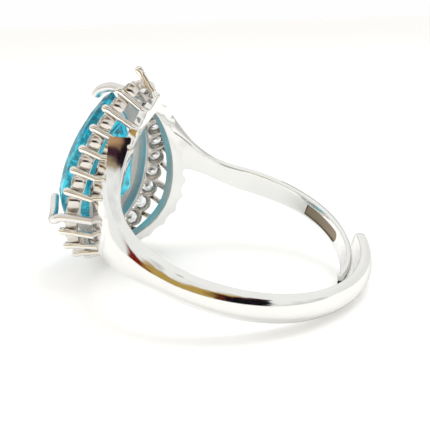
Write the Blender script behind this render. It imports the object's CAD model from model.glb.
import math
import random

import bmesh
import bpy
from mathutils import Matrix, Vector
from mathutils.noise import noise

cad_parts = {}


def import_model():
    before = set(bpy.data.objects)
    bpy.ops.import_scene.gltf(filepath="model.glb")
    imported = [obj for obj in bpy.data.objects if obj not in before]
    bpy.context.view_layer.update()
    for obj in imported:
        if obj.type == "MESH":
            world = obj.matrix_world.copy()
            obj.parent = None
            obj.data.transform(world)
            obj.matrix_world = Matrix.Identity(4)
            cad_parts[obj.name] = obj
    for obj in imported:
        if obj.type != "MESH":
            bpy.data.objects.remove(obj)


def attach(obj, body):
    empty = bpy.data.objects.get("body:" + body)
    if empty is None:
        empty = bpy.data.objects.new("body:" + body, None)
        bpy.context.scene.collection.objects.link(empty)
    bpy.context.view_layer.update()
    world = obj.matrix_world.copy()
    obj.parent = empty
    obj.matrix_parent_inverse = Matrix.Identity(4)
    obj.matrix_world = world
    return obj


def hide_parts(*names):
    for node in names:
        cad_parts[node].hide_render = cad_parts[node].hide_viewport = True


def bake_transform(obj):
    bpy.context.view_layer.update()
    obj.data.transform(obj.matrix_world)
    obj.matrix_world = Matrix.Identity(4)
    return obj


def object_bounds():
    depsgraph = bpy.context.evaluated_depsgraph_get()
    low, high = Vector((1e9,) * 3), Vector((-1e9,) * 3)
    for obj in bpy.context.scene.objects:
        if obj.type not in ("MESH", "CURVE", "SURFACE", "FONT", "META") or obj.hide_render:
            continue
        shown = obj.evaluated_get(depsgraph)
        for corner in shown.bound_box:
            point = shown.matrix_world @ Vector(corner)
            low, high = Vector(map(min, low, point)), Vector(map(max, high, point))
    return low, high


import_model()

cad_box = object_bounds()

# ------------------------------------------------------------------ the part's own dimensions, in mm
MM = 0.001
LEAN, TWIST = math.radians(19.3), math.radians(3)
INNER_R, BAND_W, BAND_T, WALL_T = 8.6, 1.9, 1.15, 0.75
OUTER_R = INNER_R + BAND_T
SPREAD, THINNING = 1.05, 0.45
FRONT_START, FRONT_END, BACK_END, BACK_START = 80, 34, 3, 110  # degrees round the bore
STONE_B, STONE_L = 4.0, 12.0
TIP_L = STONE_L - STONE_B
SIDE_K = (TIP_L ** 2 - STONE_B ** 2) / (2 * STONE_B)
PEAR_Z = STONE_B - STONE_L / 2
TABLE_X, CROWN_H, PAVILION_H = 14.3, 1.35, 3.4
GIRDLE_X = TABLE_X - CROWN_H
HALO_N, HALO_D, HALO_B, COLLAR_X, HALO_TILT = 24, 1.3, 5.1, 10.75, math.radians(40)
HALF, FIRST_S = HALO_N // 2, 0.95
RAIL_IN, RAIL_OUT, RAIL_T = 3.85, 4.75, 0.75
SIDE_CLAW = 7  # the prong place, counted from the point, that a claw takes on each side

SETTING, OUTER, INNER = "setting", "outer_limb", "inner_limb"


def lie(x, y, z, twisted=False):
    """A point in the ring's own axes, in mm, laid over as the ring lies, in metres."""
    if twisted:
        y, z = (y * math.cos(TWIST) - z * math.sin(TWIST), y * math.sin(TWIST) + z * math.cos(TWIST))
    return Vector((x * math.cos(LEAN) + z * math.sin(LEAN), y, -x * math.sin(LEAN) + z * math.cos(LEAN))) * MM


def mix(a, b, t):
    return a + (b - a) * t


def smooth(t):
    t = min(1, max(0, t))
    return t * t * (3 - 2 * t)


# ------------------------------------------------------------------ pear outlines
# An outline is named by its half width b. s is the distance along the halo's outline from the point.
def tip_at(b):
    return math.sqrt((b + SIDE_K) ** 2 - SIDE_K ** 2)


def side_len(b):
    return (b + SIDE_K) * math.asin(tip_at(b) / (b + SIDE_K))


def half_len(b):
    return side_len(b) + math.pi * b / 2


def rim_angle(a, b):
    """Point of the outline with half width b where its normal has angle a, in radians."""
    if a > 0:
        return max(0, (b + SIDE_K) * math.cos(a) - SIDE_K), min(tip_at(b), (b + SIDE_K) * math.sin(a))
    return b * math.cos(a), b * math.sin(a)


def angle_at(s):
    if s <= 0:
        return math.pi / 2
    if s < side_len(HALO_B):
        return (side_len(HALO_B) - s) / (HALO_B + SIDE_K)
    return -(s - side_len(HALO_B)) / HALO_B


def rim(s, b):
    return (0, tip_at(b)) if s <= 0 else rim_angle(angle_at(s), b)


def half_width(b, z):
    d = z - PEAR_Z
    if d > 0:
        return math.sqrt(max(0, (b + SIDE_K) ** 2 - d * d)) - SIDE_K
    return math.sqrt(max(0, b * b - d * d))


PITCH = (half_len(HALO_B) - FIRST_S) / (HALF - 0.5)


def stone_s(i):
    return FIRST_S + i * PITCH


def prong_s(i):
    return 0 if i == 0 else half_len(HALO_B) if i == HALF else FIRST_S + (i - 0.5) * PITCH


def in_setting(s, side, b, x):
    y, z = rim(s, b)
    return Vector((-x, side * y, PEAR_Z + z))


# ------------------------------------------------------------------ mesh helpers
def new_object(name, bm, material, body=SETTING, nodes=(), crease=35):
    bmesh.ops.remove_doubles(bm, verts=bm.verts, dist=1e-7)
    bmesh.ops.recalc_face_normals(bm, faces=bm.faces)
    mesh = bpy.data.meshes.new(name)
    bm.to_mesh(mesh)
    bm.free()
    mesh.materials.append(material)
    obj = bpy.data.objects.new(name, mesh)
    bpy.context.scene.collection.objects.link(obj)
    if crease is None:
        mesh.shade_flat()
    else:
        mesh.shade_smooth()
        mesh.set_sharp_from_angle(angle=math.radians(crease))
    if body:
        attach(obj, body)
    if nodes:
        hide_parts(*nodes)
    return obj


def loft(bm, rings, closed=False):
    """Skins a list of closed rings of points, in metres, and caps the ends unless it is closed."""
    rows = [[bm.verts.new(p) for p in ring] for ring in rings]
    n = len(rows[0])
    for i in range(len(rows) if closed else len(rows) - 1):
        a, b = rows[i], rows[(i + 1) % len(rows)]
        for j in range(n):
            k = (j + 1) % n
            bm.faces.new((a[j], a[k], b[k], b[j]))
    if not closed:
        bm.faces.new(rows[0][::-1])
        bm.faces.new(rows[-1])


def fillet(points, radii, steps=4):
    """Rounds the corners of a closed 2D outline."""
    out = []
    for i, (p, r) in enumerate(zip(points, radii)):
        p = Vector(p)
        back, ahead = Vector(points[i - 1]) - p, Vector(points[(i + 1) % len(points)]) - p
        r = min(r, 0.45 * back.length, 0.45 * ahead.length)
        start, end = p + back.normalized() * r, p + ahead.normalized() * r
        for k in range(steps + 1):
            t = k / steps
            out.append((1 - t) ** 2 * start + 2 * t * (1 - t) * p + t * t * end)
    return out


# ------------------------------------------------------------------ materials
def nodes_of(name):
    mat = bpy.data.materials.new(name)
    mat.use_nodes = True
    tree = mat.node_tree
    return mat, tree, tree.nodes["Principled BSDF"]


def add(tree, kind, sockets=None, **settings):
    """Adds a shader node. A socket is given a value, or another node's output to be linked to."""
    node = tree.nodes.new(kind)
    for key, value in settings.items():
        setattr(node, key, value)
    for key, value in (sockets or {}).items():
        if isinstance(value, bpy.types.NodeSocket):
            tree.links.new(value, node.inputs[key])
        else:
            node.inputs[key].default_value = value
    return node


def noise_fac(tree, scale, detail, distortion=0.0, where="Object"):
    place = add(tree, "ShaderNodeTexCoord")
    return add(tree, "ShaderNodeTexNoise", {"Scale": scale, "Detail": detail, "Distortion": distortion,
                                            "Vector": place.outputs[where]}).outputs["Fac"]


def ramp(tree, fac, stops):
    node = add(tree, "ShaderNodeValToRGB", {"Fac": fac})
    while len(node.color_ramp.elements) < len(stops):
        node.color_ramp.elements.new(0.5)
    for element, (place, colour) in zip(node.color_ramp.elements, stops):
        element.position = place
        element.color = (*colour, 1)
    return node.outputs["Color"]


def haze(tree, shader, scale, detail, rough):
    """Roughness that wanders between the two values of rough."""
    spread = add(tree, "ShaderNodeMapRange", {"To Min": rough[0], "To Max": rough[1],
                                              "Value": noise_fac(tree, scale, detail)})
    tree.links.new(spread.outputs["Result"], shader.inputs["Roughness"])


TARNISH = (0.10, 0.065, 0.05, 1)


def polished_silver(name, tint=(0.87, 0.87, 0.855), rough=(0.04, 0.11), ripple=0.0,
                    rim_tone=0.55, rim_from=0.62):
    """Bright silver with slight tone changes, buffing haze, hairlines and tarnish on turned-away rims."""
    mat, tree, shader = nodes_of(name)
    dull = tuple(c * 0.95 for c in tint)
    colour = ramp(tree, noise_fac(tree, 260, 4), [(0.3, dull), (0.7, tint)])
    facing = add(tree, "ShaderNodeLayerWeight", {"Blend": 0.5})
    rim_mask = add(tree, "ShaderNodeMapRange", {"From Min": rim_from, "From Max": 0.97, "To Max": rim_tone,
                                                "Value": facing.outputs["Facing"]},
                   interpolation_type="SMOOTHSTEP").outputs["Result"]
    tarnish = add(tree, "ShaderNodeMixRGB", {"Fac": rim_mask, "Color1": colour, "Color2": TARNISH})
    tree.links.new(tarnish.outputs["Color"], shader.inputs["Base Color"])
    # tarnish is less metallic than the silver under it
    metal = add(tree, "ShaderNodeMath", {0: rim_mask, 1: -0.8, 2: 1}, operation="MULTIPLY_ADD")
    tree.links.new(metal.outputs["Value"], shader.inputs["Metallic"])
    haze(tree, shader, 900, 5, rough)
    # hairlines from the polishing wheel, and a slow swell of the hand-finished surface
    place = add(tree, "ShaderNodeTexCoord")
    stretch = add(tree, "ShaderNodeMapping", {"Scale": (900, 900, 9000), "Vector": place.outputs["Object"]})
    lines = add(tree, "ShaderNodeTexNoise", {"Scale": 1, "Detail": 2, "Vector": stretch.outputs["Vector"]})
    hairlines = add(tree, "ShaderNodeBump", {"Strength": 0.04, "Distance": 0.00001,
                                             "Height": lines.outputs["Fac"]})
    swell = add(tree, "ShaderNodeBump", {"Strength": 0.25 + ripple, "Distance": 0.00004,
                                         "Height": noise_fac(tree, 420, 1),
                                         "Normal": hairlines.outputs["Normal"]})
    tree.links.new(swell.outputs["Normal"], shader.inputs["Normal"])
    return mat


def gem(name, stops, ior, transmission, scale=180):
    mat, tree, shader = nodes_of(name)
    tree.links.new(ramp(tree, noise_fac(tree, scale, 2, 0.4), stops), shader.inputs["Base Color"])
    shader.inputs["Transmission Weight"].default_value = transmission
    shader.inputs["IOR"].default_value = ior
    haze(tree, shader, 1500, 2, (0.01, 0.04))
    return mat


SILVER = polished_silver("polished_silver")
WIRE = polished_silver("wire_silver", tint=(0.92, 0.895, 0.845), rough=(0.05, 0.14), ripple=0.2,
                       rim_tone=0.97, rim_from=0.48)
CAST = polished_silver("cast_silver", tint=(0.82, 0.80, 0.78), rough=(0.32, 0.48), ripple=0.6)
CLAW = polished_silver("claw_silver", tint=(0.89, 0.87, 0.85), rough=(0.3, 0.4), ripple=0.2, rim_tone=0.9)
COLLAR = polished_silver("collar_silver", tint=(0.79, 0.745, 0.69), rough=(0.08, 0.2), ripple=0.4,
                         rim_tone=0.95)
PATINA = polished_silver("recess_patina", tint=(0.30, 0.24, 0.17), rough=(0.25, 0.45), ripple=0.6)
AQUA = gem("aqua_stone", [(0.36, (0.0, 0.52, 0.78)), (0.5, (0.02, 0.74, 0.94)), (0.64, (0.22, 0.90, 1.0))],
           ior=1.62, transmission=0.82, scale=240)
CLEAR = gem("clear_stone", [(0.35, (0.90, 0.92, 0.93)), (0.65, (0.98, 0.99, 1.0))],
            ior=1.9, transmission=0.95)


# ------------------------------------------------------------------ shank
CROWN_ARC = math.radians(60)


def band_section(width, depth, wall, edge=0.1, n_in=6, n_crown=18):
    """Outline of the band as (height, distance from the inside), down the inside and up the crown."""
    h = width / 2
    edge = min(edge, 0.3 * wall, 0.3 * h)
    corner = [math.pi / 2 * k / 4 for k in range(1, 5)]
    pts = [(h - edge - 2 * (h - edge) * k / n_in, 0.0) for k in range(n_in + 1)]
    pts += [(-h + edge - edge * math.sin(a), edge - edge * math.cos(a)) for a in corner]
    pts.append((-h, mix(edge, wall, 0.5)))
    for k in range(n_crown + 1):
        u = -1 + 2 * k / n_crown
        rise = (math.cos(u * CROWN_ARC) - math.cos(CROWN_ARC)) / (1 - math.cos(CROWN_ARC))
        # the crown's borders are eased
        ease = 0.06 * (1 - abs(u)) if abs(u) > 0.9 else 0
        inset = 0.995 if abs(u) == 1 else 1
        pts.append((u * h * inset, wall + (depth - wall) * rise + ease))
    pts.append((h, mix(wall, edge, 0.5)))
    pts += [(h - edge + edge * math.sin(a), edge - edge * math.cos(a)) for a in reversed(corner)]
    return pts


def polar(r, a):
    return r * math.cos(a), -r * math.sin(a)


STRAP_X, STRAP_Y, STRAP_TAPER, STRAP_INSET = 9.65, 4.95, 0.15, 0.3
STRAP_T, STRAP_WALL, STRAP_EDGE = 1.6, 0.86, 0.3
FRONT_EDGES, BACK_EDGES = (-3.1, 4.3), (0.4, 4.8)
SEAM_AT, SEAM_WAVE, SEAM_W, SEAM_DEPTH, HAND_SWELL = 0.62, 0.06, 0.02, 0.035, 0.02


def strap_inside(start, t, z):
    """Inner face of a strap at height z, t of the way from the limb to the rail."""
    w = min(half_width(RAIL_OUT - STRAP_INSET, z), INNER_R)
    return polar(INNER_R, mix(start, math.pi - math.asin(w / INNER_R), t))


def strap_outside(start, t, z):
    """Outer face of a strap: round the shank, then straight on to the strap's outer corner."""
    end_y = STRAP_Y - STRAP_TAPER * abs(z)
    end_a = math.pi - math.atan2(end_y, STRAP_X)
    tangent_a = end_a - math.acos(OUTER_R / math.hypot(STRAP_X, end_y))
    a = mix(start, end_a, t)
    return polar(OUTER_R if a < tangent_a else OUTER_R / math.cos(a - tangent_a), a)


def shoulder_rings(start, edges, rise, shear, side, steps):
    """Rings from the limb's section to the strap's edges at the setting. side is -1 in front, 1 behind."""
    rings = []
    for i in range(steps + 1):
        t = i / steps
        low = mix(-BAND_W / 2, edges[0], smooth(t))
        high = mix(BAND_W / 2, edges[1], t ** rise)
        depth = mix(BAND_T, STRAP_T, t)
        wall = depth * mix(WALL_T / BAND_T, STRAP_WALL, t)
        lift = shear * (1 - t) * INNER_R * math.sin(start)
        ring = []
        for h, d in band_section(high - low, depth, wall, edge=mix(0.1, STRAP_EDGE, t)):
            z = (low + high) / 2 + h + lift
            f = d / depth
            if f > 0.5:
                # a wavy solder seam, and the slow swell of hand finishing
                wave = noise(Vector((3 * z, 7 * side, 0.4)))
                f -= SEAM_DEPTH * math.exp(-((t - SEAM_AT - SEAM_WAVE * wave) / SEAM_W) ** 2)
                f += HAND_SWELL * noise(Vector((1.7 * z, 12 * t, side))) * smooth(t)
            (xa, ya), (xb, yb) = strap_inside(start, t, z), strap_outside(start, t, z)
            ring.append(lie(mix(xa, xb, f), -side * mix(ya, yb, f), z))
        rings.append(ring)
    return rings


TIP_CROWD, TIP_THIN, TIP_THIN_FROM, TIP_LEAST = 0.8, 0.55, 0.9, 0.02


def front_limb_rings(steps=110):
    """Rings along the near half, on a circle that leaves the bore's at the strap, to a rounded tip."""
    start = math.radians(FRONT_START)
    cx, cy = -SPREAD * math.cos(start), SPREAD * math.sin(start)
    big_r, half_w = INNER_R + SPREAD, BAND_W / 2
    last = math.radians(FRONT_END) + half_w / big_r
    rings = []
    for i in range(1, steps + 1):
        # stations crowd together over the rounded tip
        f = i / steps
        if f < TIP_CROWD:
            a = mix(-start, last, f)
        else:
            a = mix(mix(-start, last, TIP_CROWD), last,
                    math.sin((f - TIP_CROWD) / (1 - TIP_CROWD) * math.pi / 2))
        past = max(0, a - last + 2 * half_w / big_r) * big_r
        half = half_w
        if past > half_w:
            half = max(TIP_LEAST, math.sqrt(max(0, half_w ** 2 - (past - half_w) ** 2)))
        thin = mix(1, TIP_THIN, smooth((past - TIP_THIN_FROM) / half_w))
        ring = []
        for h, d in band_section(2 * half, BAND_T * thin, WALL_T * thin, edge=0.12):
            r = big_r + d + (1 - thin) * BAND_T / 2
            ring.append(lie(cx + r * math.cos(a), cy + r * math.sin(a), h, True))
        rings.append(ring)
    return rings


BACK_LOW, BACK_NARROW, BACK_OFF = 0.6, 0.45, 0.15


def stand_off(a):
    """How far the far half's inner face stands outside the bore at angle a."""
    return BACK_OFF * smooth((math.radians(BACK_START) - a) / math.radians(BACK_START + BACK_END))


def back_limb_rings(steps=100, eased=3):
    """Rings along the far half, which thins all along and narrows on its lower side."""
    a0, a1 = math.radians(BACK_START), math.radians(-BACK_END)
    rings = []
    for i in range(1, steps + 1):
        a = mix(a0, a1, i / steps)
        thick = (THINNING * math.cos(a0 - a) - INNER_R
                 + math.sqrt((OUTER_R - THINNING) ** 2 - (THINNING * math.sin(a0 - a)) ** 2))
        wall = max(0.3 * thick, thick - (BAND_T - WALL_T))
        low = mix(-BAND_W / 2, -BACK_LOW, smooth(i / steps / BACK_NARROW))
        # the last few rings ease the end's corners
        ease = mix(0.55, 1, min(1, (steps - i) / eased))
        width = (BAND_W / 2 - low) * mix(0.9, 1, ease)
        ring = []
        for h, d in band_section(width, thick * ease, wall * ease, edge=0.09):
            r = INNER_R + stand_off(a) + d
            ring.append(lie(r * math.cos(a), r * math.sin(a), (low + BAND_W / 2) / 2 + h, True))
        rings.append(ring)
    return rings


def shank():
    """Each half of the shank and its strap are one mesh, which bends between two stations."""
    shear = math.tan(TWIST)
    bm = bmesh.new()
    strap = shoulder_rings(math.radians(FRONT_START), FRONT_EDGES, 5, -shear, -1, 60)
    loft(bm, strap[::-1] + front_limb_rings())
    front = new_object("front_shank", bm, SILVER, None, ("front_limb", "front_shoulder"), crease=50)
    bm = bmesh.new()
    strap = shoulder_rings(math.radians(BACK_START), BACK_EDGES, 3, shear, 1, 50)
    loft(bm, strap[::-1] + back_limb_rings())
    back = new_object("back_shank", bm, SILVER, None, ("back_limb", "back_shoulder"), crease=50)
    cut_panel(back)
    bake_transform(front)
    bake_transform(back)


PANEL_FROM, PANEL_TO = math.radians(44), math.radians(71)
PANEL_HALF, PANEL_MID, PANEL_DEPTH, CUT_IN = 0.46, 0.08, 0.1, 0.3


def cut_panel(obj):
    """Blank recessed panel inside the far half: square at one end, round at the other."""
    end = [math.radians(v) for v in (6, 15, 25, 35, 45, 55, 65, 75, 85)]
    stations = [(PANEL_FROM - PANEL_HALF * math.cos(u) / INNER_R, PANEL_HALF * math.sin(u)) for u in end]
    stations += [(mix(PANEL_FROM, PANEL_TO, k / 24), PANEL_HALF) for k in range(25)]
    rings = []
    for a, w in stations:
        near, far = INNER_R - CUT_IN, INNER_R + stand_off(a) + PANEL_DEPTH
        rings.append([lie(r * math.cos(a), r * math.sin(a), PANEL_MID + z, True)
                      for r, z in ((near, -w), (near, w), (far, w), (far, -w))])
    bm = bmesh.new()
    loft(bm, rings)
    bmesh.ops.recalc_face_normals(bm, faces=bm.faces)
    mesh = bpy.data.meshes.new("panel_cutter")
    bm.to_mesh(mesh)
    bm.free()
    mesh.materials.append(PATINA)
    cutter = bpy.data.objects.new("panel_cutter", mesh)
    bpy.context.scene.collection.objects.link(cutter)
    mod = obj.modifiers.new("panel", "BOOLEAN")
    mod.operation, mod.object, mod.solver = "DIFFERENCE", cutter, "EXACT"
    mod.material_mode = "TRANSFER"
    evaluated = obj.evaluated_get(bpy.context.evaluated_depsgraph_get())
    cut = bpy.data.meshes.new_from_object(evaluated)
    obj.modifiers.clear()
    obj.data = cut
    cut.shade_smooth()
    cut.set_sharp_from_angle(angle=math.radians(50))
    bpy.data.objects.remove(cutter)


# ------------------------------------------------------------------ setting
def pear_fractions(n_side=96, n_round=48):
    """Stations round the pear from the point: which part of the outline, how far along it, which side."""
    half = [("side", k / n_side) for k in range(n_side)]
    half += [("round", k / n_round) for k in range(n_round + 1)]
    return [(f, -1) for f in half] + [(f, 1) for f in half[-2:0:-1]]


def pear_sweep(bm, section):
    """Sweeps a closed section round the pear. section takes a station and gives points in mm."""
    loft(bm, [[lie(*p) for p in section(f, side)] for f, side in pear_fractions()], closed=True)


def outline_point(f, b):
    part, k = f
    if part == "side":
        return rim_angle(math.asin(tip_at(b) / (b + SIDE_K)) * (1 - k), b)
    return rim_angle(-math.pi / 2 * k, b)


RAIL_EDGE, RAIL_SWELL = 0.12, 0.26


def base_rail():
    """Rail bent to the bore, its outer edge scalloped in step with the prongs."""
    corners = fillet([(RAIL_IN, 0), (RAIL_OUT, 0), (RAIL_OUT, RAIL_T), (RAIL_IN, RAIL_T)], [RAIL_EDGE] * 4)
    middle = (RAIL_IN + RAIL_OUT) / 2

    def section(f, side):
        part, k = f
        s = side_len(HALO_B) * k if part == "side" else side_len(HALO_B) + math.pi / 2 * HALO_B * k
        swell = RAIL_SWELL * (0.5 + 0.5 * math.cos(2 * math.pi * ((s - FIRST_S) / PITCH + 0.5))) ** 2
        out = []
        for b, d in corners:
            y, z = outline_point(f, b + (swell if b > middle else 0))
            out.append((-math.sqrt((INNER_R + d) ** 2 - y * y), side * y, PEAR_Z + z))
        return out

    bm = bmesh.new()
    pear_sweep(bm, section)
    obj = new_object("rail", bm, SILVER, nodes=("base_rail",))
    # its inner face is left as cast
    obj.data.materials.append(CAST)
    for face in obj.data.polygons:
        if face.index % len(corners) == len(corners) - 1:
            face.material_index = 1


def collet():
    """Wall round the stone, with the ledge it rests on."""
    outside, inside, ledge = STONE_B + 0.3, STONE_B - 0.05, STONE_B - 0.79
    low, top, under = 10.85, 12.0, 11.7
    corners = fillet([(inside, low), (outside, low), (outside, top), (ledge, top), (ledge, under),
                      (inside, under)], [0.08, 0.08, 0.1, 0.06, 0.06, 0.05])

    def section(f, side):
        points = [(*outline_point(f, b), u) for b, u in corners]
        return [(-u, side * y, PEAR_Z + z) for y, z, u in points]

    bm = bmesh.new()
    pear_sweep(bm, section)
    new_object("stone_collet", bm, CAST, nodes=("collet",))


def on_halo(s, side):
    """Transform that puts +Z along the stone's own axis at a place on the halo, in metres."""
    spot = Matrix.Translation(in_setting(s, side, HALO_B, COLLAR_X))
    turn = (Matrix.Rotation(side * (angle_at(s) - math.pi / 2), 4, "X")
            @ Matrix.Rotation(HALO_TILT - math.pi / 2, 4, "Y"))
    return Matrix.Scale(MM, 4) @ Matrix.Rotation(LEAN, 4, "Y") @ spot @ turn


def circle(r, h, n, matrix, offset=0.0):
    turns = [2 * math.pi * (j + offset) / n for j in range(n)]
    return [matrix @ Vector((r * math.cos(a), r * math.sin(a), h)) for a in turns]


def halo_places():
    for k in range(HALO_N):
        i = k if k < HALF else HALO_N - 1 - k
        yield k, stone_s(i), (-1 if k < HALF else 1)


def halo_collars():
    """The turned collars, each a closed ring with a slight waist inside and a swell outside."""
    r_in, r_out, h = HALO_D / 2 + 0.01, HALO_D / 2 + 0.15, 0.425
    section = fillet([(r_in, -h), (r_out - 0.02, -h), (r_out + 0.02, 0.1), (r_out - 0.01, h),
                      (r_in + 0.02, h), (r_in - 0.03, 0.12)], [0.05, 0.06, 0.1, 0.06, 0.04, 0.06], 3)
    bm = bmesh.new()
    for k, s, side in halo_places():
        loft(bm, [circle(r, z, 32, on_halo(s, side)) for r, z in section], closed=True)
    new_object("halo_collars", bm, COLLAR, nodes=("halo_seat",), crease=40)


GIRDLE_H, CROWN_K, DEPTH_K, GIRDLE_K = 0.28, 0.44, 0.86, 0.06


def brilliant(bm, r, matrix):
    """Round brilliant: table, stars, kites and girdle facets above, mains and halves below."""
    n = 8
    crown, depth, under = CROWN_K * r, DEPTH_K * r, GIRDLE_H - GIRDLE_K * r

    def ring(k, h, m, offset=0.0):
        return [bm.verts.new(p) for p in circle(k * r, h, m, matrix, offset)]

    table = ring(0.56, GIRDLE_H + crown, n)
    star = ring(0.79, GIRDLE_H + 0.58 * crown, n, 0.5)
    top = ring(1, GIRDLE_H, 2 * n)
    low = ring(1, under, 2 * n)
    half = ring(0.36, under - 0.68 * depth, n, 0.5)
    culet = bm.verts.new(matrix @ Vector((0, 0, under - depth)))
    bm.faces.new(table)
    for j in range(n):
        k = (j + 1) % n
        bm.faces.new((table[j], table[k], star[j]))
        bm.faces.new((table[k], star[j], top[2 * k], star[k]))
        bm.faces.new((star[j], top[2 * j], top[2 * j + 1]))
        bm.faces.new((star[j], top[2 * j + 1], top[2 * k]))
        bm.faces.new((low[2 * j], low[2 * j + 1], half[j]))
        bm.faces.new((low[2 * j + 1], low[2 * k], half[j]))
        bm.faces.new((half[j], low[2 * k], half[k], culet))
    girdle(bm, top, low)


def girdle(bm, top, low):
    for j in range(len(top)):
        k = (j + 1) % len(top)
        bm.faces.new((top[j], top[k], low[k], low[j]))


def halo_stones():
    for k, s, side in halo_places():
        bm = bmesh.new()
        brilliant(bm, HALO_D / 2, on_halo(s, side))
        new_object("clear_stone_%02d" % (k + 1), bm, CLEAR, nodes=("halo_stone_%02d" % (k + 1),),
                   crease=None)


def main_stone(n=16):
    """Pear brilliant: a table, rows of crown facets, a thin girdle and a stepped pavilion."""
    bm = bmesh.new()

    def outline(f):
        """Point of the stone's outline, f from 0 at the point to 1 at the round end and back to 2."""
        side = 1 if f <= 1 else -1
        s = (f if f <= 1 else 2 - f) * half_len(STONE_B)
        past = side_len(STONE_B) - s
        y, z = rim_angle(past / (STONE_B + SIDE_K) if past > 0 else past / STONE_B, STONE_B)
        return side * y, z

    def row(h, scale, offset=0.0, count=n):
        out = []
        for j in range(count):
            y, z = outline((j + offset) * 2 / count % 2)
            out.append(bm.verts.new(lie(-(GIRDLE_X + h), scale * y, PEAR_Z + mix(1, z, scale))))
        return out

    table = row(CROWN_H, 0.60)
    star = row(0.86 * CROWN_H, 0.74, 0.5)
    bezel = row(0.5 * CROWN_H, 0.885)
    top = row(0.02, 0.98, count=2 * n)
    low = row(-0.15, 0.98, count=2 * n)
    p1 = row(-0.42 * PAVILION_H, 0.70)
    p2 = row(-0.76 * PAVILION_H, 0.33, 0.5)
    keel = row(-PAVILION_H, 0.04)
    bm.faces.new(table)
    bm.faces.new(keel[::-1])
    for j in range(n):
        k = (j + 1) % n
        bm.faces.new((table[j], table[k], star[j]))
        bm.faces.new((table[k], star[j], bezel[k]))
        bm.faces.new((table[k], bezel[k], star[k]))
        bm.faces.new((star[j], bezel[j], bezel[k]))
        bm.faces.new((bezel[j], top[2 * j], top[2 * j + 1]))
        bm.faces.new((bezel[j], top[2 * j + 1], bezel[k]))
        bm.faces.new((bezel[k], top[2 * j + 1], top[2 * k]))
        bm.faces.new((low[2 * j], low[2 * j + 1], p1[j]))
        bm.faces.new((low[2 * j + 1], p1[k], p1[j]))
        bm.faces.new((low[2 * j + 1], low[2 * k], p1[k]))
        bm.faces.new((p1[j], p1[k], p2[j]))
        bm.faces.new((p2[j], p1[k], p2[k]))
        bm.faces.new((p2[j], p2[k], keel[k]))
        bm.faces.new((p2[j], keel[k], keel[j]))
    girdle(bm, top, low)
    new_object("pear_stone", bm, AQUA, nodes=("main_stone",), crease=None)


# ------------------------------------------------------------------ wires
def tube(bm, spine, radii, flat=1.0, turn=None, n=20):
    """Wire along a list of points in mm, with a radius at each; flat squeezes it across turn."""
    rings = []
    m = len(spine) - 1
    for i, (p, r) in enumerate(zip(spine, radii)):
        along = (spine[min(i + 1, m)] - spine[max(i - 1, 0)]).normalized()
        guide = turn if turn is not None else Vector((0, 0, 1)) if abs(along.z) < 0.9 else Vector((0, 1, 0))
        across = along.cross(guide).normalized()
        level = across.cross(along).normalized()
        ring = []
        for a in (2 * math.pi * j / n for j in range(n)):
            ring.append(lie(*(p + r * (math.cos(a) * level + flat * math.sin(a) * across))))
        rings.append(ring)
    loft(bm, rings)


def smooth_path(points, per=5):
    """Catmull-Rom through points."""
    out = []
    n = len(points)
    for i in range(n - 1):
        p0, p1, p2, p3 = points[max(0, i - 1)], points[i], points[i + 1], points[min(n - 1, i + 2)]
        for k in range(per):
            t = k / per
            out.append(0.5 * ((2 * p1) + (p2 - p0) * t + (2 * p0 - 5 * p1 + 4 * p2 - p3) * t * t
                              + (3 * p1 - p0 - 3 * p2 + p3) * t ** 3))
    out.append(points[-1])
    return out


FOOT_B, FOOT_R, PRONG_TOP, PRONG_OUT, WIRE_R, BEAD_R = 4.55, 8.9, 10.9, 6.0, 0.26, 0.31
POINT_FOOT = 0.25
FILLET_K, FILLET_END, WAIST, BEAD_FROM, BEAD_LEN, WOBBLE = 0.45, 0.16, 0.06, 0.82, 0.15, 0.012


def prongs():
    """Straight wires from the rail past the collars, with a solder fillet at the foot and a bead."""
    places = [(i, -1) for i in range(HALF + 1) if i != SIDE_CLAW]
    places += [(i, 1) for i in range(HALF - 1, 0, -1) if i != SIDE_CLAW]
    rng = random.Random(5)
    steps = 16
    for k, (i, side) in enumerate(places):
        s = prong_s(i)
        foot = FOOT_B + (POINT_FOOT if i == 0 else 0)
        start = in_setting(s, side, foot, math.sqrt(FOOT_R ** 2 - rim(s, foot)[0] ** 2))
        end = in_setting(s, side, PRONG_OUT, PRONG_TOP)
        run = end - start
        spine, radii = [], []
        for j in range(steps + 1):
            t = j / steps
            wobble = WOBBLE * Vector((rng.uniform(-1, 1), rng.uniform(-1, 1), rng.uniform(-1, 1)))
            spine.append(start + run * t + (wobble if 2 < j < steps - 2 else Vector()))
            r = WIRE_R * (1 + FILLET_K - FILLET_K * smooth(t / FILLET_END))
            r *= 1 - WAIST * math.sin(math.pi * smooth(t))
            radii.append(mix(r, BEAD_R, smooth((t - BEAD_FROM) / BEAD_LEN)))
        for a in (math.radians(v) for v in (20, 40, 58, 72, 83, 89)):
            spine.append(end + run.normalized() * BEAD_R * math.sin(a))
            radii.append(BEAD_R * math.cos(a))
        bm = bmesh.new()
        tube(bm, spine, radii)
        new_object("prong_wire_%02d" % (k + 1), bm, WIRE, nodes=("halo_prong_%02d" % (k + 1),))


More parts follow.
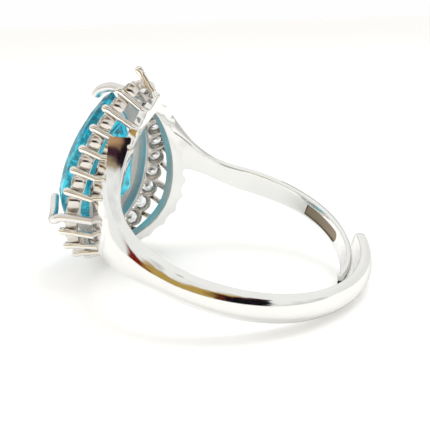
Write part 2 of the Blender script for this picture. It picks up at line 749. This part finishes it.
# each claw's path: distance from the bore's axis, half width of the outline it is over, step along it
TIP_PATH = [(9.4, 4.3, 0), (10.2, 4.45, 0), (11.2, 4.4, 0), (12.2, 4.3, 0), (13, 4.2, 0), (13.6, 3.97, 0),
            (14.1, 3.68, 0), (14.33, 3.35, 0), (14.38, 3.15, 0)]
SIDE_PATH = [(7.7, 4.55, 0), (9.3, 5.3, 0.2), (10.9, 6, 0.45), (11.4, 6.15, 0.75), (12, 5.85, 1.15),
             (12.6, 5.15, 1.4), (13.1, 4.57, 1.5), (13.5, 4.15, 1.5), (13.9, 3.7, 1.5), (14.15, 3.35, 1.45)]
CLAW_R, CLAW_FOOT, CLAW_FLAT, CLAW_ROUND = 0.33, 0.92, 0.85, 0.9


def claws():
    side_s = prong_s(SIDE_CLAW)
    for name, s, side, path, swell, node in (
            ("tip_claw_wire", 0, 1, TIP_PATH, 1.3, "tip_claw"),
            ("front_claw_wire", side_s, -1, SIDE_PATH, 1.18, "front_claw"),
            ("back_claw_wire", side_s, 1, SIDE_PATH, 1.18, "back_claw")):
        a = angle_at(s)
        turn = Vector((0, -side * math.sin(a), math.cos(a)))
        points = smooth_path([in_setting(s + ds, side, b, x) for x, b, ds in path])
        radii = []
        for j in range(len(points)):
            t = j / (len(points) - 1)
            r = CLAW_R * mix(CLAW_FOOT, swell, smooth(t / 0.6))
            if t > CLAW_ROUND:
                r *= math.sqrt(max(0.02, 1 - ((t - CLAW_ROUND) / (1 - CLAW_ROUND)) ** 2 * 0.97))
            radii.append(r)
        bm = bmesh.new()
        tube(bm, points, radii, flat=CLAW_FLAT, turn=turn)
        new_object(name, bm, CLAW, nodes=(node,))


shank()
base_rail()
collet()
halo_collars()
halo_stones()
main_stone()
prongs()
claws()


# ------------------------------------------------------------------ stage
UNDER, FLOOR_RINGS, FLOOR_SIDES = 0.00001, (0.02, 0.06, 0.2, 0.6, 2.0, 8.0), 48


def floor():
    z = cad_box[0][2] - UNDER
    flat = Matrix.Identity(4)
    bm = bmesh.new()
    middle = bm.verts.new((0, 0, z))
    rings = [[bm.verts.new(p) for p in circle(r, z, FLOOR_SIDES, flat)] for r in FLOOR_RINGS]
    for j in range(FLOOR_SIDES):
        k = (j + 1) % FLOOR_SIDES
        bm.faces.new((middle, rings[0][j], rings[0][k]))
        for a, b in zip(rings, rings[1:]):
            bm.faces.new((a[j], b[j], b[k], a[k]))
    mesh = bpy.data.meshes.new("floor")
    bm.to_mesh(mesh)
    bm.free()
    obj = bpy.data.objects.new("floor", mesh)
    bpy.context.scene.collection.objects.link(obj)
    mat, tree, shader = nodes_of("floor_paper")
    paper = ramp(tree, noise_fac(tree, 60, 3), [(0.3, (0.88, 0.88, 0.88)), (0.7, (0.90, 0.90, 0.90))])
    tree.links.new(paper, shader.inputs["Base Color"])
    shader.inputs["Roughness"].default_value = 0.9
    shader.inputs["Emission Color"].default_value = (1, 1, 1, 1)
    shader.inputs["Emission Strength"].default_value = 0.26
    mesh.materials.append(mat)


# where the camera is: angles about the ring's own axes, distances in mm across and away from its middle
VIEW_AZ, VIEW_EL, VIEW_ROLL = math.radians(23.32), math.radians(26.43), math.radians(16.74)
VIEW_FAR, VIEW_RIGHT, VIEW_UP = 46, -1.136, 0.974
SENSOR, LENS = 36, 51.18


def camera():
    back = Vector((math.sin(VIEW_AZ) * math.cos(VIEW_EL), -math.cos(VIEW_AZ) * math.cos(VIEW_EL),
                   math.sin(VIEW_EL)))
    level = Vector((math.cos(VIEW_AZ), math.sin(VIEW_AZ), 0))
    above = back.cross(level)
    right = math.cos(VIEW_ROLL) * level + math.sin(VIEW_ROLL) * above
    up = -math.sin(VIEW_ROLL) * level + math.cos(VIEW_ROLL) * above
    place = lie(*(VIEW_FAR * back + VIEW_RIGHT * right + VIEW_UP * up))
    columns = [lie(*v).normalized() for v in (right, up, back)] + [place]
    data = bpy.data.cameras.new("camera")
    data.sensor_width, data.lens = SENSOR, LENS
    data.clip_start, data.clip_end = 0.001, 10
    obj = bpy.data.objects.new("camera", data)
    bpy.context.scene.collection.objects.link(obj)
    obj.matrix_world = Matrix([[c[i] for c in columns] for i in range(3)] + [(0, 0, 0, 1)])
    bpy.context.scene.camera = obj


# shapes of the room that the metal mirrors: colour, then west, east, low, high and softness in degrees
ROOM = (
    ((0.38, 0.29, 0.17), -78, 13, 38, 60, 5),
    ((0.20, 0.012, 0.004), -146, -114, -30, 15, 4),
    ((0.50, 0.34, 0.09), -121, -42, -30, 22, 5),
    ((0.09, 0.02, 0.01), -66, -24, -30, 19, 4),
    ((0.006, 0.005, 0.008), -56, -24, -30, 16, 3),
    ((0.55, 0.33, 0.17), -10, 13, 40, 54, 2),
    ((0.05, 0.015, 0.03), -2, 22, 50, 55, 2),
    ((0.008, 0.005, 0.01), 6, 26, 38, 54, 2),
    ((0.30, 0.26, 0.24), -128, -114, 44, 66, 4),
)
PLAIN = (0.99, 0.99, 0.99, 1)


def world():
    """Even white studio, with the tan and dark shapes of a room in what the metal mirrors."""
    w = bpy.data.worlds.new("studio")
    bpy.context.scene.world = w
    w.use_nodes = True
    tree = w.node_tree
    tree.nodes.clear()
    where = add(tree, "ShaderNodeTexCoord")
    axes = add(tree, "ShaderNodeSeparateXYZ", {"Vector": where.outputs["Generated"]})

    def maths(operation, *values):
        return add(tree, "ShaderNodeMath", dict(enumerate(values)), operation=operation).outputs["Value"]

    wobble = maths("MULTIPLY", maths("SUBTRACT", noise_fac(tree, 4, 3, where="Generated"), 0.5), 0.5)
    azimuth = maths("ADD", maths("ARCTAN2", axes.outputs["Y"], axes.outputs["X"]), wobble)
    elevation = maths("ADD", maths("ARCSINE", axes.outputs["Z"]), maths("MULTIPLY", wobble, 0.6))

    def step(value, start, end):
        return add(tree, "ShaderNodeMapRange", {"Value": value, "From Min": math.radians(start),
                                                "From Max": math.radians(end)},
                   interpolation_type="SMOOTHSTEP").outputs["Result"]

    def over(base, colour, mask):
        return add(tree, "ShaderNodeMixRGB", {"Fac": mask, "Color1": base, "Color2": colour}).outputs["Color"]

    colour = ramp(tree, noise_fac(tree, 2.3, 2, where="Generated"),
                  [(0.34, (0.62, 0.62, 0.60)), (0.54, (0.97, 0.97, 0.95))])
    for tone, west, east, low, high, soft in ROOM:
        sides = maths("MULTIPLY", step(azimuth, west - soft, west + soft),
                      step(azimuth, east + soft, east - soft))
        ends = maths("MULTIPLY", step(elevation, low - soft / 2, low + soft / 2),
                     step(elevation, high + soft / 2, high - soft / 2))
        colour = over(colour, (*tone, 1), maths("MULTIPLY", sides, ends))
    seen = add(tree, "ShaderNodeLightPath").outputs["Is Camera Ray"]
    back = add(tree, "ShaderNodeBackground", {"Strength": 1.0, "Color": over(colour, PLAIN, seen)})
    add(tree, "ShaderNodeOutputWorld", {"Surface": back.outputs["Background"]})


def light(name, place, size, energy):
    """Round soft light aimed at the ring, not mirrored in it."""
    data = bpy.data.lights.new(name, "AREA")
    data.shape = "DISK"
    data.size = size
    data.energy = energy
    obj = bpy.data.objects.new(name, data)
    bpy.context.scene.collection.objects.link(obj)
    obj.location = Vector(place)
    obj.rotation_mode = "QUATERNION"
    obj.rotation_quaternion = (-Vector(place)).to_track_quat("-Z", "Y")
    obj.visible_camera = False
    obj.visible_glossy = False


floor()
camera()
world()
bpy.context.scene.view_settings.view_transform = "Standard"
light("key", place=(0.05, 0.10, 0.30), size=0.16, energy=0.25)
light("fill", place=(-0.20, -0.16, 0.16), size=0.12, energy=0.08)
